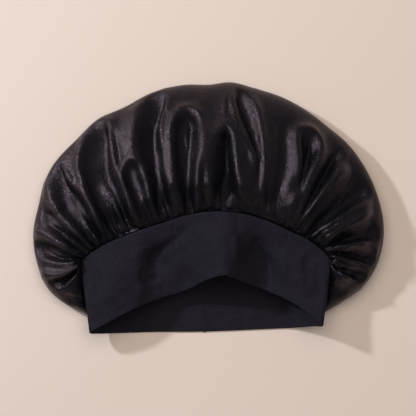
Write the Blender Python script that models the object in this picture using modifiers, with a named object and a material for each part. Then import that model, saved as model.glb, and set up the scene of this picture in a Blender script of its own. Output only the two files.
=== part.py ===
"""Sleep bonnet: a gathered satin crown on a wide stretch band, lying on its back.

X runs across the bonnet, Y from the hem to the crown's far edge and Z up from the
table. The front of the band is lifted, so the opening for the head shows.
"""

import math

import bmesh
import bpy
import numpy as np

# Band, in metres
HEM_WIDTH = 0.229  # across the two folded corners of the hem
SEAM_WIDTH = 0.246  # across the corners of the seam that holds the crown
BAND_DEPTH = 0.065  # hem to crown seam, along the back
HEM_SETBACK = 0.059  # the lifted front hem stands this far behind the back hem
SEAM_ARCH = 0.056  # the front seam arches this far past the back seam
OPENING_HEIGHT = 0.052  # the front hem's peak above the back hem
SEAM_HEIGHT = 0.045  # the front seam above the back seam
BAND_WALL = 0.0024  # doubled knit
DENT_DEPTH = 0.005

# Centre-back seam of the band, a groove on the inside
JOIN_ACROSS = -0.0015
JOIN_WIDTH = 0.0012
JOIN_DEPTH = 0.0009

# Crown
CROWN_WIDTH = 0.347
CROWN_LENGTH = 0.1835  # back seam to the far edge
CROWN_WALL = 0.0013
RIM_HEIGHT = 0.020  # the outline's height above the table, at its highest
RIM_ROLL = 0.022  # how far the rounded edge reaches under
CREST_HEIGHT = 0.015  # how far the gathers stand above the seam
CREST_PLACE = 0.55  # below 1, so that they stand nearer to the seam than to the outline
EDGE_ROUNDNESS = 0.45  # 0.5 would be a quarter circle
SEAM_DROP = 0.25  # the back comes down from the seam in this share of its length
CREASE_HEIGHT = 0.006  # the side creases where they end, beside the band
CREASE_START = 0.12  # where they are formed, as a share of the way to the outline
CREASE_REACH = 0.7  # where they end, as a share of the way to the outline
LOBE_GAP = 0.001  # between the side lobes and the band's folded edges
SIDE_ROUNDING = 0.045  # length of outline over which the side lobes round off
FOLD_DEPTH = 0.013
FOLD_WIDTH = 0.014  # half the width of the widest fold
RIM_SWELL = 0.0025  # how far a fold's end pushes the outline out
SEAM_GAP = 0.0007  # between the band's edge and the crown's
SEAM_STAND = 0.002  # the crown runs on straight from the band this far, then turns

# How finely they are built
CROWN_COLUMNS = 140
CROWN_RINGS = 14
RING_SPREAD = 1.15  # above 1, so that the rings stand closer together at the seam
END_SPREAD = 0.4  # how much closer the crown's columns stand at the ends of its outline
BAND_COLUMNS = 36  # on each of the front and the back
BAND_ROWS = 6
CORNER_SPREAD = 0.7  # how much closer the band's columns stand at its corners

# The band's sections, round the loop from the left corner over the front and back under.
# Columns: across, hem_along, hem_up, seam_along, seam_up. across is a share of half the
# width, the others of HEM_SETBACK, OPENING_HEIGHT, SEAM_ARCH and SEAM_HEIGHT.
BAND_FRONT = [
    (-1.00, 0.02, 0.48, 0.10, 0.53),
    (-0.85, 0.20, 0.64, 0.36, 0.62),
    (-0.60, 0.45, 0.58, 0.61, 0.73),
    (-0.35, 0.63, 0.34, 0.79, 0.82),
    (-0.15, 0.76, 0.42, 0.93, 0.91),
    (0.02, 0.93, 0.80, 0.99, 0.98),
    (0.14, 1.00, 1.00, 0.99, 1.00),
    (0.34, 0.87, 0.66, 0.93, 0.96),
    (0.50, 0.75, 0.44, 0.82, 0.91),
    (0.66, 0.62, 0.52, 0.66, 0.83),
    (0.85, 0.41, 0.64, 0.45, 0.74),
    (1.00, 0.15, 0.69, 0.11, 0.64),
]
BAND_BACK = [
    (0.93, 0.13, 0.35, 0.05, 0.31),
    (0.80, 0.10, 0.08, 0.02, 0.08),
    (0.50, 0.07, 0.00, 0.00, 0.00),
    (0.00, 0.03, 0.00, 0.00, 0.00),
    (-0.50, 0.02, 0.00, 0.00, 0.00),
    (-0.82, 0.00, 0.02, 0.02, 0.04),
    (-0.94, 0.00, 0.21, 0.05, 0.24),
]

# The crown's sections, fanning from the seam to the outline, left to right.
# Columns: seam_at, leaves, across, along, rim, crest. seam_at is a share of the seam's
# length, leaves the direction off it in degrees. across is a share of half CROWN_WIDTH,
# along of CROWN_LENGTH past the back seam, rim and crest of RIM_HEIGHT and CREST_HEIGHT.
CROWN_FAN = [
    (0.000, 226, -0.700, -0.256, 0.30, 0.3),
    (0.004, 222, -0.795, -0.207, 0.45, 0.4),
    (0.009, 212, -0.900, -0.120, 0.55, 0.5),
    (0.016, 196, -0.963, 0.011, 0.60, 0.6),
    (0.030, 174, -0.988, 0.185, 0.60, 0.7),
    (0.060, 152, -0.957, 0.338, 0.60, 0.7),
    (0.105, 136, -0.890, 0.530, 0.60, 0.8),
    (0.165, 124, -0.726, 0.703, 0.65, 0.8),
    (0.220, 118, -0.588, 0.812, 0.65, 0.9),
    (0.295, 113, -0.450, 0.872, 0.70, 1.0),
    (0.370, 108, -0.311, 0.943, 0.70, 1.0),
    (0.450, 100, -0.121, 0.986, 0.70, 1.0),
    (0.505, 95, 0.020, 0.987, 0.70, 1.0),
    (0.560, 91, 0.140, 1.000, 0.70, 1.0),
    (0.630, 84, 0.275, 0.968, 0.75, 1.0),
    (0.710, 74, 0.455, 0.910, 0.80, 1.0),
    (0.780, 62, 0.634, 0.817, 0.85, 0.9),
    (0.812, 58, 0.722, 0.751, 0.85, 0.9),
    (0.840, 54, 0.801, 0.687, 0.90, 0.9),
    (0.885, 46, 0.888, 0.567, 0.95, 0.8),
    (0.925, 33, 0.968, 0.414, 1.00, 0.8),
    (0.965, 9, 1.012, 0.160, 1.00, 0.7),
    (0.984, -15, 0.974, -0.005, 0.90, 0.6),
    (0.991, -32, 0.900, -0.114, 0.80, 0.5),
    (0.996, -42, 0.790, -0.190, 0.60, 0.4),
    (1.000, -46, 0.700, -0.245, 0.40, 0.3),
]
FAN_LEAD = 0.33  # how far the crown keeps its first direction, as a share of its length

# The folds. Columns: root, tip, start, end, width, depth, swell. root and tip are where it
# begins and ends, as shares of the outline. start and end are shares of the way from the
# seam to the outline. width, depth and swell are shares of FOLD_WIDTH, FOLD_DEPTH and
# RIM_SWELL.
FRONT_FOLDS = [
    (0.020, 0.050, 0.00, 0.90, 0.50, 0.40, 0.0),
    (0.160, 0.125, 0.00, 0.88, 0.60, 0.60, 0.0),
    (0.217, 0.180, 0.00, 0.86, 0.65, 0.70, 0.0),
    (0.248, 0.240, 0.00, 0.97, 0.72, 0.75, 0.8),
    (0.333, 0.325, 0.00, 0.96, 0.95, 0.85, 0.8),
    (0.368, 0.365, 0.00, 0.58, 0.60, 0.50, 0.0),
    (0.417, 0.408, 0.00, 0.97, 0.85, 1.00, 1.0),
    (0.462, 0.465, 0.00, 0.82, 1.00, 0.90, 0.0),
    (0.522, 0.527, 0.00, 0.66, 0.75, 0.70, 0.0),
    (0.595, 0.548, 0.20, 0.94, 0.55, 0.60, 1.0),
    (0.615, 0.630, 0.00, 0.86, 0.75, 0.65, 0.0),
    (0.652, 0.664, 0.10, 0.84, 0.55, 0.55, 0.5),
    (0.693, 0.713, 0.00, 0.93, 0.70, 0.85, 1.0),
    (0.745, 0.787, 0.00, 0.90, 0.70, 0.70, 0.7),
    (0.800, 0.845, 0.00, 0.88, 0.60, 0.60, 0.0),
    (0.855, 0.880, 0.00, 0.86, 0.55, 0.50, 0.0),
    (0.975, 0.925, 0.00, 0.90, 0.50, 0.45, 0.0),
]
BACK_FOLDS = [
    (0.14, 0.10, 0.00, 0.80, 0.80, 0.30, 0.0),
    (0.24, 0.21, 0.00, 0.72, 0.90, 0.35, 0.0),
    (0.33, 0.31, 0.00, 0.64, 0.85, 0.35, 0.0),
    (0.42, 0.42, 0.00, 0.74, 0.90, 0.40, 0.0),
    (0.53, 0.54, 0.00, 0.60, 0.85, 0.35, 0.0),
    (0.62, 0.65, 0.00, 0.75, 0.90, 0.40, 0.0),
    (0.71, 0.74, 0.00, 0.66, 0.80, 0.35, 0.0),
    (0.80, 0.84, 0.00, 0.78, 0.85, 0.30, 0.0),
]
LIP_HEIGHT = 0.35  # the raised edge on each side of a fold, as a share of its depth
LIP_PLACE = 1.7  # from the middle of the fold, in half widths
LIP_WIDTH = 0.6
SWELL_SHARPNESS = 6
FOLD_ROOT = 0.5  # how wide a fold starts, as a share of its full width
FOLD_OPENS = 0.4  # where it reaches that width, as a share of the way to the outline
FOLD_FADES = 0.2  # how long its two ends take to fade

# Soft dents and bulges in the front of the band. Columns: across, along, wide, long, up.
# across and wide are shares of half the width, along and long of the way from hem to
# seam, up of DENT_DEPTH, below 0 for a dent.
BAND_DENTS = [
    (-0.76, 0.48, 0.20, 0.46, 0.7),
    (-0.42, 0.55, 0.17, 0.38, -1.0),
    (-0.02, 0.45, 0.21, 0.46, 0.8),
    (0.44, 0.45, 0.15, 0.40, -1.0),
    (0.74, 0.50, 0.19, 0.46, 0.5),
]


def ease(x):
    """0 up to 0, 1 from 1 on, and smooth between."""
    x = np.clip(x, 0.0, 1.0)
    return x * x * (3 - 2 * x)


def chord_knots(points, closed=False):
    """How far along a line of points each lies, as shares of its length."""
    points = np.asarray(points, float)
    if closed:
        points = np.vstack([points, points[:1]])
    steps = np.linalg.norm(np.diff(points, axis=0), axis=1)
    shares = np.concatenate([[0], np.cumsum(steps)]) / steps.sum()
    return shares[:-1] if closed else shares


def curve_through(rows, knots, closed=False):
    """A smooth curve through the rows. It takes shares from 0 to 1 and gives points."""
    rows = np.asarray(rows, float)
    knots = np.asarray(knots, float)
    if closed:
        rows = np.vstack([rows[-2:], rows, rows[:3]])
        knots = np.concatenate([knots[-2:] - 1, knots, knots[:3] + 1])
    steps = np.diff(knots)[:, None]
    slopes = np.diff(rows, axis=0) / steps
    inner = (slopes[:-1] * steps[1:] + slopes[1:] * steps[:-1]) / (steps[1:] + steps[:-1])
    tangents = np.vstack([slopes[:1], inner, slopes[-1:]])

    def at(share):
        share = np.atleast_1d(np.asarray(share, float))
        if closed:
            share = share % 1.0
        i = np.clip(np.searchsorted(knots, share, side="right") - 1, 0, len(steps) - 1)
        h = steps[i]
        s = (share - knots[i])[:, None] / h
        return (
            (2 * s**3 - 3 * s**2 + 1) * rows[i]
            + (s**3 - 2 * s**2 + s) * h * tangents[i]
            + (3 * s**2 - 2 * s**3) * rows[i + 1]
            + (s**3 - s**2) * h * tangents[i + 1]
        )

    return at


def band_curves():
    """The hem and seam loops, and the share of the loop at which the front ends."""
    across, hem_along, hem_up, seam_along, seam_up = np.array(BAND_FRONT + BAND_BACK).T
    lowest = BAND_WALL / 2
    hem = np.column_stack([
        across * HEM_WIDTH / 2,
        hem_along * HEM_SETBACK,
        lowest + hem_up * OPENING_HEIGHT,
    ])
    seam = np.column_stack([
        across * SEAM_WIDTH / 2,
        BAND_DEPTH + seam_along * SEAM_ARCH,
        lowest + seam_up * SEAM_HEIGHT,
    ])
    knots = chord_knots(seam, closed=True)
    front_end = knots[len(BAND_FRONT) - 1]

    def on_table(curve):
        return lambda share: np.maximum(curve(share), (-np.inf, -np.inf, lowest))

    hem, seam = (on_table(curve_through(rows, knots, True)) for rows in (hem, seam))
    return hem, seam, front_end


hem_at, seam_at, FRONT_END = band_curves()


def loop_share(share, back):
    """From a share of the way from the left corner to the right one, to a share of the loop."""
    return 1 - share * (1 - FRONT_END) if back else share * FRONT_END


def band_row(w, shares):
    """The middle of the band's wall, w of the way from the hem to the seam."""
    points = (1 - w) * hem_at(shares) + w * seam_at(shares)
    front = shares <= FRONT_END
    for across, along, wide, long, up in BAND_DENTS:
        x = (points[:, 0] / (SEAM_WIDTH / 2) - across) / wide
        y = (w - along) / long
        inside = math.sin(math.pi * w) ** 2
        points[front, 2] += (up * DENT_DEPTH * inside * np.exp(-(x**2) - y**2))[front]
    return points


def fan_curve():
    """seam_at, leaves, X, Y, rim and crest of the crown's sections along the outline."""
    seam_share, leaves, across, along, rim, crest = np.array(CROWN_FAN).T
    x = across * CROWN_WIDTH / 2
    y = BAND_DEPTH + along * CROWN_LENGTH
    outline = np.column_stack([x, y])
    length = np.linalg.norm(np.diff(outline, axis=0), axis=1).sum()
    rows = np.column_stack([seam_share, np.radians(leaves), x, y, rim, crest])
    return curve_through(rows, chord_knots(outline)), length


fan_at, OUTLINE_LENGTH = fan_curve()


def outward(u):
    """The direction square to the outline, in plan."""
    step = 0.001
    along = fan_at(np.clip(u + step, 0, 1)) - fan_at(np.clip(u - step, 0, 1))
    along = along[:, 2:4] / np.linalg.norm(along[:, 2:4], axis=1)[:, None]
    return np.column_stack([-along[:, 1], along[:, 0]])


def side_swell(u):
    """0 at the fan's two ends and 1 inside, rounded like the end of a bolster."""
    inside = np.clip(np.minimum(u, 1 - u) * OUTLINE_LENGTH / SIDE_ROUNDING, 0, 1)
    return np.sqrt(1 - (1 - inside) ** 2)


def crown_root(u, back, stand=SEAM_STAND):
    """The crown's wall at the seam, this far past its edge and in line with the band."""
    shares = loop_share(fan_at(u)[:, 0], back)
    seam = seam_at(shares)
    away = seam - hem_at(shares)
    away /= np.linalg.norm(away, axis=1)[:, None]
    return seam + away * (SEAM_GAP + stand)


def fan_plan(u, b, back):
    """Plan place at b of the way from the seam to the outline, and the chord's length."""
    row = fan_at(u)
    start = crown_root(u, back)[:, :2]
    end = row[:, 2:4]
    chord = np.linalg.norm(end - start, axis=1)[:, None]
    leave = np.column_stack([np.cos(row[:, 1]), np.sin(row[:, 1])])
    first = start + leave * chord * FAN_LEAD
    second = end - outward(u) * chord * FAN_LEAD * side_swell(u)[:, None]
    b = b[:, None]
    place = (
        (1 - b) ** 3 * start
        + 3 * (1 - b) ** 2 * b * first
        + 3 * (1 - b) * b**2 * second
        + b**3 * end
    )
    return place, chord[:, 0]


def crease_height(u, b):
    """The side creases, from the seam's corners down to the table beside the band."""
    left, right = seam_at([0.0, FRONT_END])[:, 2]
    corner = np.where(u < 0.5, left, right)
    return CREASE_HEIGHT + (corner - CREASE_HEIGHT) * (1 - ease(b / CREASE_REACH))


def fold_push(folds, u, b):
    """How far the folds move the wall outwards, at b of the way from seam to outline."""
    ring_length = FRONT_SEAM_LENGTH + (OUTLINE_LENGTH - FRONT_SEAM_LENGTH) * b
    push = np.zeros(len(u))
    for root, tip, start, end, width, depth, swell in folds:
        middle = root + (tip - root) * ease(b / end)
        opened = FOLD_ROOT + (1 - FOLD_ROOT) * ease((b - start) / FOLD_OPENS)
        off = np.abs(u - middle) * ring_length / (FOLD_WIDTH * width * opened)
        along = ease((b - start) / FOLD_FADES) * ease((end - b) / FOLD_FADES)
        valley = np.exp(-(off**2))
        lip = LIP_HEIGHT * np.exp(-(((off - LIP_PLACE) / LIP_WIDTH) ** 2))
        push += FOLD_DEPTH * depth * along * (lip - valley)
        bump = np.exp(-(((u - tip) * OUTLINE_LENGTH / (2 * FOLD_WIDTH)) ** 2))
        push += RIM_SWELL * swell * bump * b**SWELL_SHARPNESS
    return push * side_swell(u)


def crown_front(u, ring):
    """The upper sheet. ring runs from 0 at the seam to 1 at the outline."""
    b = np.full(len(u), math.sin(ring * math.pi / 2))
    plan, _ = fan_plan(u, b, back=False)
    row = fan_at(u)
    rim = row[:, 4] * RIM_HEIGHT
    root = crown_root(u, back=False)[:, 2]
    height = rim + (root - rim) * (1 - b**2) ** EDGE_ROUNDNESS
    height += row[:, 5] * CREST_HEIGHT * np.sin(math.pi * b**CREST_PLACE)
    height = side_blend(height, u, b)
    tilt = math.pi / 2 * b**3
    points = pushed(plan, height, u, tilt, fold_push(FRONT_FOLDS, u, b))
    return clear_of_band(points, b)


def crown_back(u, ring):
    """The lower sheet, flat on the table apart from its folds and the rounded edge."""
    _, chord = fan_plan(u, np.ones(len(u)), back=True)
    roll = np.clip(RIM_ROLL / chord, 0, 0.5)
    turn = math.pi / 2 * max(0.0, 2 * ring - 1)
    b = min(1.0, 2 * ring) * (1 - roll) + roll * math.sin(turn)
    plan, _ = fan_plan(u, b, back=True)
    floor = CROWN_WALL / 2
    rim = fan_at(u)[:, 4] * RIM_HEIGHT
    root = crown_root(u, back=True)[:, 2]
    height = floor + (rim - floor) * (1 - math.cos(turn))
    height += (root - floor) * (1 - ease(b / SEAM_DROP))
    height = side_blend(height, u, b)
    tilt = np.full(len(u), math.pi - turn)
    points = pushed(plan, height, u, tilt, fold_push(BACK_FOLDS + RIM_ONLY, u, b))
    points[:, 2] = np.maximum(points[:, 2], floor)
    return clear_of_band(points, b)


def side_blend(height, u, b):
    """Rounds a sheet down, or up, to the creases at the two sides."""
    crease = crease_height(u, b)
    share = 1 + (side_swell(u) - 1) * ease(b / CREASE_START)
    return crease + (height - crease) * share


def pushed(plan, height, u, tilt, push):
    """Points moved out of the sheet: straight up at tilt 0, sideways at a quarter turn."""
    side = outward(u) * (np.sin(tilt) * push)[:, None]
    return np.column_stack([plan + side, height + np.cos(tilt) * push])


def clear_of_band(points, b):
    """Moves the side lobes out to where they just clear the band's folded edges."""
    for corner in (0.0, FRONT_END):
        hem, seam = hem_at(corner)[0], seam_at(corner)[0]
        along = (points[:, 1] - hem[1]) / (seam[1] - hem[1])
        edge = hem[0] + (seam[0] - hem[0]) * np.maximum(along, 0)
        reach = np.abs(edge) + BAND_WALL / 2 + LOBE_GAP + CROWN_WALL / 2
        beside = (points[:, 0] * seam[0] > 0) & (along < 1) & (b > CREASE_START)
        beside &= np.abs(points[:, 0]) < reach
        points[beside, 0] = (np.sign(seam[0]) * reach)[beside]
    return points


def crown_columns():
    """Where the crown's columns stand along the outline, closer together at its ends."""
    even = np.linspace(0, 1, CROWN_COLUMNS // 2 + 1)
    return even - END_SPREAD * np.sin(2 * math.pi * even) / (2 * math.pi)


def crown_ring(ring):
    """A closed loop round the crown: the upper sheet left to right, the lower one back."""
    u = crown_columns()
    front = crown_front(u, ring)
    back = crown_back(u, ring)
    if ring == 1:
        back = front
    return np.vstack([front, back[-2:0:-1]])


def crown_edge():
    """The loop where the crown meets the band."""
    u = crown_columns()
    return np.vstack([crown_root(u, False, 0), crown_root(u, True, 0)[-2:0:-1]])


def band_loop_shares():
    """Where the band's columns stand round its loop, closer together at the corners."""
    even = np.linspace(0, 1, BAND_COLUMNS + 1)
    u = even - CORNER_SPREAD * np.sin(2 * math.pi * even) / (2 * math.pi)
    return np.concatenate([loop_share(u, False), loop_share(u, True)[-2:0:-1]])


def lofted(name, rings):
    """A mesh object through closed rings that all have the same number of points."""
    mesh = bmesh.new()
    made = [[mesh.verts.new(point) for point in ring] for ring in rings]
    for lower, upper in zip(made, made[1:]):
        for i in range(len(lower)):
            mesh.faces.new((lower[i - 1], lower[i], upper[i], upper[i - 1]))
    bmesh.ops.remove_doubles(mesh, verts=mesh.verts, dist=1e-6)
    data = bpy.data.meshes.new(name)
    mesh.to_mesh(data)
    mesh.free()
    data.shade_smooth()
    return bpy.data.objects.new(name, data)


def add_wall(piece, thickness):
    wall = piece.modifiers.new("wall", "SOLIDIFY")
    wall.thickness = thickness
    wall.offset = 0


def cloth(name, color, roughness, metallic=0.0):
    material = bpy.data.materials.new(name)
    material.use_nodes = True
    shader = material.node_tree.nodes["Principled BSDF"]
    shader.inputs["Base Color"].default_value = (*color, 1)
    shader.inputs["Roughness"].default_value = roughness
    shader.inputs["Metallic"].default_value = metallic
    return material


def make_crown(collection, holder):
    steps = np.linspace(0, 1, CROWN_RINGS + 1) ** RING_SPREAD
    crown = lofted("crown", [crown_edge()] + [crown_ring(step) for step in steps])
    crown.data.materials.append(cloth("black satin", (0.016, 0.014, 0.018), 0.35))
    collection.objects.link(crown)
    crown.parent = holder
    add_wall(crown, CROWN_WALL)
    return crown


def make_band(collection, holder):
    shares = band_loop_shares()
    rows = [band_row(w, shares) for w in np.linspace(0, 1, BAND_ROWS + 1)]
    band = lofted("band", rows)
    band.data.materials.append(cloth("black knit", (0.013, 0.011, 0.016), 0.85))
    collection.objects.link(band)
    band.parent = holder
    add_wall(band, BAND_WALL)
    return band


def cut_join(band, cutters, holder):
    """The centre-back seam: a groove down the inside of the back wall."""
    bpy.ops.mesh.primitive_cube_add(size=1)
    groove = bpy.context.object
    groove.name = "join_groove"
    for collection in list(groove.users_collection):
        collection.objects.unlink(groove)
    cutters.objects.link(groove)
    groove.parent = holder
    run_out = 0.004
    top = 0.003
    groove.dimensions = (JOIN_WIDTH, BAND_DEPTH + 2 * run_out, JOIN_DEPTH + top)
    groove.location = (JOIN_ACROSS, BAND_DEPTH / 2, BAND_WALL - JOIN_DEPTH / 2 + top / 2)
    groove.hide_render = True
    groove.display_type = "WIRE"
    cut = band.modifiers.new("centre-back join", "BOOLEAN")
    cut.operation = "DIFFERENCE"
    cut.object = groove


def centre_on_table(holder, pieces):
    """Puts the middle of the bonnet's footprint at the origin, and its lowest point at Z 0."""
    bpy.context.view_layer.update()
    graph = bpy.context.evaluated_depsgraph_get()
    corners = []
    for piece in pieces:
        mesh = piece.evaluated_get(graph).to_mesh()
        corners += [piece.matrix_world @ vertex.co for vertex in mesh.vertices]
    corners = np.array(corners)
    low, high = corners.min(axis=0), corners.max(axis=0)
    holder.location = (-(low[0] + high[0]) / 2, -(low[1] + high[1]) / 2, -low[2])


FRONT_SEAM_LENGTH = np.linalg.norm(
    np.diff(seam_at(np.linspace(0, FRONT_END, 100)), axis=0), axis=1
).sum()
RIM_ONLY = [(root, tip, 0, 1, 1, 0, swell) for root, tip, *_, swell in FRONT_FOLDS]


def main():
    for old in list(bpy.data.objects):
        bpy.data.objects.remove(old)
    bonnet = bpy.data.collections.new("sleep_bonnet")
    cutters = bpy.data.collections.new("cutters")
    bpy.context.scene.collection.children.link(bonnet)
    bpy.context.scene.collection.children.link(cutters)
    holder = bpy.data.objects.new("bonnet", None)
    bonnet.objects.link(holder)
    band = make_band(bonnet, holder)
    cut_join(band, cutters, holder)
    crown = make_crown(bonnet, holder)
    centre_on_table(holder, [band, crown])


main()
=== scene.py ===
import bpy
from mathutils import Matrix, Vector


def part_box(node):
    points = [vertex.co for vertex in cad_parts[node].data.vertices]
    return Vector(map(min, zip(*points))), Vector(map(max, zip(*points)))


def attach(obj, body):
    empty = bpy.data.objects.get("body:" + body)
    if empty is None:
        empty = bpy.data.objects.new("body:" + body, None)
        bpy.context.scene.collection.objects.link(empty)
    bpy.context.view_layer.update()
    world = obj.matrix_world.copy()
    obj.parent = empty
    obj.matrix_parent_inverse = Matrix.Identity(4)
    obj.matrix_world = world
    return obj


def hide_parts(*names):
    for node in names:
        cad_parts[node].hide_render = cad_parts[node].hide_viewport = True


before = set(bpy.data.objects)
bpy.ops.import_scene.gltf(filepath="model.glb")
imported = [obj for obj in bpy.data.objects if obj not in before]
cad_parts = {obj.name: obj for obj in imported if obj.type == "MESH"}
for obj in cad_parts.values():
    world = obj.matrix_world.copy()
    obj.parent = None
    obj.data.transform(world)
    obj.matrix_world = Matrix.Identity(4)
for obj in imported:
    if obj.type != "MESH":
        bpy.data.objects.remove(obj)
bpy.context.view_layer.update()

import math
import random

import bpy
import numpy as np
from mathutils import Vector

mm = 0.001
print("frame loaded")


# tools

def toLinear(hexColor):  # sRGB hex to the linear values that the shader wants
    parts = [int(hexColor[i:i + 2], 16) / 255 for i in (1, 3, 5)]
    return [p / 12.92 if p <= 0.04045 else ((p + 0.055) / 1.055) ** 2.4 for p in parts] + [1]


def clearSelection():
    if bpy.context.object and bpy.context.object.mode != "OBJECT":
        bpy.ops.object.mode_set(mode="OBJECT")
    bpy.ops.object.select_all(action="DESELECT")


def ease(x):
    x = np.clip(x, 0.0, 1.0)
    return x * x * (3 - 2 * x)


def bell(distance, half):
    return np.exp(-((distance / half) ** 2))


def crowdEnds(shares, crowding):  # shares from 0 to 1, moved closer together at both ends
    return shares - crowding * np.sin(2 * math.pi * shares) / (2 * math.pi)


def chordShares(points, closed=False):
    points = np.asarray(points, float)
    if closed:
        points = np.vstack([points, points[:1]])
    steps = np.linalg.norm(np.diff(points, axis=0), axis=1)
    shares = np.concatenate([[0], np.cumsum(steps)]) / steps.sum()
    return shares[:-1] if closed else shares


def curveThrough(rows, shares, closed=False):  # smooth through each row, asked for by share 0 to 1
    rows, shares = np.asarray(rows, float), np.asarray(shares, float)
    if closed:
        rows = np.vstack([rows[-2:], rows, rows[:3]])
        shares = np.concatenate([shares[-2:] - 1, shares, shares[:3] + 1])
    steps = np.diff(shares)[:, None]
    slopes = np.diff(rows, axis=0) / steps
    inner = (slopes[:-1] * steps[1:] + slopes[1:] * steps[:-1]) / (steps[1:] + steps[:-1])
    tangents = np.vstack([slopes[:1], inner, slopes[-1:]])

    def at(x):
        x = np.atleast_1d(np.asarray(x, float))
        x = x % 1.0 if closed else x
        i = np.clip(np.searchsorted(shares, x, side="right") - 1, 0, len(steps) - 1)
        h = steps[i]
        s = (x - shares[i])[:, None] / h
        return ((2 * s**3 - 3 * s**2 + 1) * rows[i] + (s**3 - 2 * s**2 + s) * h * tangents[i]
                + (3 * s**2 - 2 * s**3) * rows[i + 1] + (s**3 - s**2) * h * tangents[i + 1])

    return at


def clothGrid(name, points):  # a flat cut of cloth, one row of points after the other, bent into place
    rows, columns = points.shape[:2]
    clearSelection()
    bpy.ops.mesh.primitive_grid_add(x_subdivisions=columns - 1, y_subdivisions=rows - 1, size=1)
    piece = bpy.context.object
    piece.name = piece.data.name = name
    piece.data.vertices.foreach_set("co", np.asarray(points, np.float32).ravel())
    piece.data.update()
    return piece


def clothNormals(points):  # square to the cloth at each point of such a cut
    normals = np.cross(np.gradient(points, axis=1), np.gradient(points, axis=0))
    return normals / np.maximum(np.linalg.norm(normals, axis=2), 1e-12)[:, :, None]


reliefSet = {
    "aspect": (2.5, 1),  # 1 of x is about this much longer than 1 of y, for even steps along a path
    "stepsPerPoint": 3, "halvesReached": 4,  # beyond so many half widths a fold lifts nothing
    "ridgePower": 2.0, "valleyPower": 2.3,  # 2 is a bell, and more is flatter at the bottom
}


# lifts and sinks the cloth along curves. perX and perY are its metres for 1 of x and of y. full: how much wider a
# ridge is on the left of its path than on the right. bottom: how flat the bottom of a valley is
def relief(folds, x, y, perX, perY, full=0.0, bottom=reliefSet["valleyPower"]):
    lift = np.zeros(len(x))
    for path, (startHalf, endHalf), height, (fadeIn, fadeOut) in folds:
        path = np.array(path, float)
        if len(path) > 2:
            shares = chordShares(path * reliefSet["aspect"])
            path = curveThrough(path, shares)(np.linspace(0, 1, reliefSet["stepsPerPoint"] * (len(path) + 1)))
        low, high = path.min(axis=0), path.max(axis=0)
        reach = reliefSet["halvesReached"] * max(startHalf, endHalf) * mm
        near = np.where((x > low[0] - reach / perX) & (x < high[0] + reach / perX)
                        & (y > low[1] - reach / perY) & (y < high[1] + reach / perY))[0]
        if not len(near):
            continue
        xn, yn, px, py = x[near], y[near], perX[near], perY[near]
        nearest, place, beside = np.full(len(near), 9.0), np.zeros(len(near)), np.zeros(len(near))
        steps = len(path) - 1
        for k in range(steps):
            ax, ay = (xn - path[k][0]) * px, (yn - path[k][1]) * py
            dx, dy = (path[k + 1][0] - path[k][0]) * px, (path[k + 1][1] - path[k][1]) * py
            s = np.clip((ax * dx + ay * dy) / (dx * dx + dy * dy), 0, 1)
            distance = np.hypot(ax - s * dx, ay - s * dy)
            closer = distance < nearest
            nearest[closer] = distance[closer]
            place[closer] = ((k + s) / steps)[closer]
            length = math.hypot(*(path[k + 1] - path[k]) * (px.mean(), py.mean()))
            turn = (dx * ay - dy * ax) / np.maximum(distance * length, 1e-9)
            beside[closer] = np.clip(turn, -1, 1)[closer]
        half = (startHalf + (endHalf - startHalf) * ease(place)) * mm
        r = nearest / (half * (1 + (full if height > 0 else 0.0) * beside))
        fade = ease(place / fadeIn) if fadeIn else 1.0
        fade = fade * (ease((1 - place) / fadeOut) if fadeOut else 1.0)
        lift[near] += height * mm * fade * np.exp(-r ** (reliefSet["ridgePower"] if height > 0 else bottom))
    return lift


def sewEdges(piece):  # joins the rows of the cut that now lie on each other
    clearSelection()
    piece.select_set(True)
    bpy.context.view_layer.objects.active = piece
    bpy.ops.object.mode_set(mode="EDIT")
    bpy.ops.mesh.select_all(action="SELECT")
    bpy.ops.mesh.remove_doubles(threshold=0.001 * mm)
    bpy.ops.mesh.normals_make_consistent(inside=False)
    bpy.ops.object.mode_set(mode="OBJECT")


def joinWalls(outer, inner):  # one closed cloth from its outer and inner faces, bridged along their open edge
    clearSelection()
    inner.select_set(True)
    outer.select_set(True)
    bpy.context.view_layer.objects.active = outer
    bpy.ops.object.join()
    bpy.ops.object.mode_set(mode="EDIT")
    bpy.ops.mesh.select_mode(type="EDGE")
    bpy.ops.mesh.select_all(action="DESELECT")
    bpy.ops.mesh.select_non_manifold(extend=False, use_wire=False, use_boundary=True, use_multi_face=False,
                                     use_non_contiguous=False, use_verts=False)
    bpy.ops.mesh.bridge_edge_loops()
    bpy.ops.mesh.select_mode(type="VERT")
    bpy.ops.mesh.select_all(action="SELECT")
    bpy.ops.mesh.normals_make_consistent(inside=False)
    bpy.ops.object.mode_set(mode="OBJECT")
    bpy.ops.object.shade_smooth()


# the band: doubled knit, folded at the hem

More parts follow.
